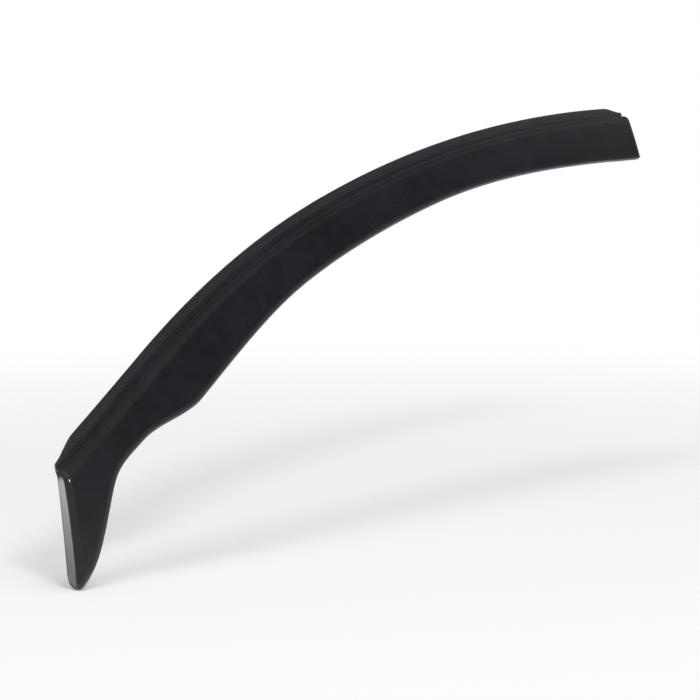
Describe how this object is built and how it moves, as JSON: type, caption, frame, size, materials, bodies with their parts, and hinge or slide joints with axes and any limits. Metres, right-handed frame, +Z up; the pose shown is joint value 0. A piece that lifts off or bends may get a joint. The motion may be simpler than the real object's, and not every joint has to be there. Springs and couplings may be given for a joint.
{
  "type": "window rain deflector",
  "caption": "Smoked acrylic rain deflector for a front side window: a channel lip, a curved band that stands off the glass, a wavy lower edge and a leg down the front edge.",
  "frame": {"origin": "outer face of the channel lip, at the lip's root, at its front end", "axes": "+X rearward along the window, +Y inward, away from the outer face, +Z up, with the part as it is fitted in the window"},
  "size_m": [0.957, 0.1378, 0.3779],
  "materials": {
    "smoked_acrylic": "glossy dark smoke tint, polished edges"
  },
  "bodies": {
    "root": {"deflector": "smoked_acrylic"}
  },
  "joints": []
}
